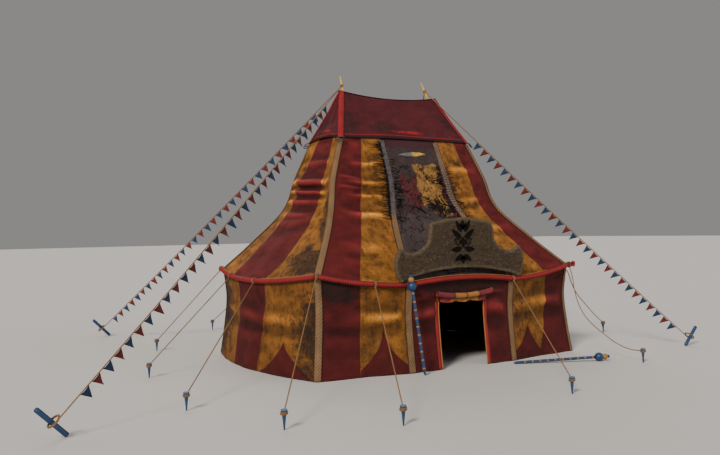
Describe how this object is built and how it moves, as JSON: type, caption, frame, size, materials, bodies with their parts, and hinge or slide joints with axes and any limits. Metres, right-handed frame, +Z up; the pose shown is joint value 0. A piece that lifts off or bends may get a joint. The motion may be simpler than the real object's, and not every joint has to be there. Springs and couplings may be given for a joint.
{
  "type": "circus big top tent",
  "caption": "Circus big top: striped canvas walls and roof on two masts, raised crown, doorway with a sign board, guy ropes with pegs, pennant lines on leaning stakes.",
  "frame": {"origin": "middle of the whole pitch's bounding box, on the ground", "axes": "+X runs to the right along the tent's long front, +Y from the front with the doorway to the back, +Z up"},
  "size_m": [22.4867, 20.5131, 9.5863],
  "materials": {
    "striped_canvas": "worn canvas in vertical dark red and golden yellow stripes, stained and sooty",
    "crown_canvas": "faded maroon canvas",
    "red_band": "bright red webbing and a stuffed red roll",
    "seam_tape": "tan twill tape with dark edges",
    "mast_wood": "bare tapered pole, golden at the tip",
    "flap_canvas": "rolled canvas, red at both ends and yellow in the middle",
    "sign_wood": "rough weathered board with worn lighter edges and a dark painted ornament",
    "striped_paint": "blue gloss paint with gold bands",
    "guy_rope": "twisted tan rope; the pegs on it are blue",
    "blue_paint": "blue gloss paint",
    "pennant_cloth": "dark blue and red pennants in turn on a twisted tan rope"
  },
  "bodies": {
    "root": {"front_left_roof": "striped_canvas", "front_left_wall": "striped_canvas", "front_door_roof": "striped_canvas", "front_door_wall": "striped_canvas", "front_right_roof": "striped_canvas", "front_right_wall": "striped_canvas", "right_end_roof": "striped_canvas", "right_end_wall": "striped_canvas", "back_right_roof": "striped_canvas", "back_right_wall": "striped_canvas", "back_centre_roof": "striped_canvas", "back_centre_wall": "striped_canvas", "back_left_roof": "striped_canvas", "back_left_wall": "striped_canvas", "left_end_roof": "striped_canvas", "left_end_wall": "striped_canvas", "crown_front": "crown_canvas", "crown_right_end": "crown_canvas", "crown_back": "crown_canvas", "crown_left_end": "crown_canvas", "crown_bands": "red_band", "eave_roll": "red_band", "front_left_corner_tape": "seam_tape", "door_left_tape": "seam_tape", "door_right_tape": "seam_tape", "front_right_corner_tape": "seam_tape", "back_right_corner_tape": "seam_tape", "back_inner_right_tape": "seam_tape", "back_inner_left_tape": "seam_tape", "back_left_corner_tape": "seam_tape", "left_mast": "mast_wood", "right_mast": "mast_wood", "door_flap_roll": "flap_canvas", "sign_board": "sign_wood", "standing_pole": "striped_paint", "lying_pole": "striped_paint", "front_left_corner_guy": "guy_rope", "front_left_guy": "guy_rope", "door_right_guy": "guy_rope", "right_end_rear_guy": "guy_rope", "back_right_corner_guy": "guy_rope", "back_inner_guy": "guy_rope", "back_left_guy": "guy_rope", "back_left_corner_guy": "guy_rope", "left_end_rear_guy": "guy_rope", "left_end_front_guy": "guy_rope", "front_right_corner_slack_rope": "guy_rope", "right_end_front_slack_rope": "guy_rope", "front_right_corner_peg": "blue_paint", "right_end_front_peg": "blue_paint", "front_left_stake": "blue_paint", "front_left_bunting": "pennant_cloth", "back_left_stake": "blue_paint", "back_left_bunting": "pennant_cloth", "front_right_stake": "blue_paint", "front_right_bunting": "pennant_cloth", "back_right_stake": "blue_paint", "back_right_bunting": "pennant_cloth"}
  },
  "joints": []
}
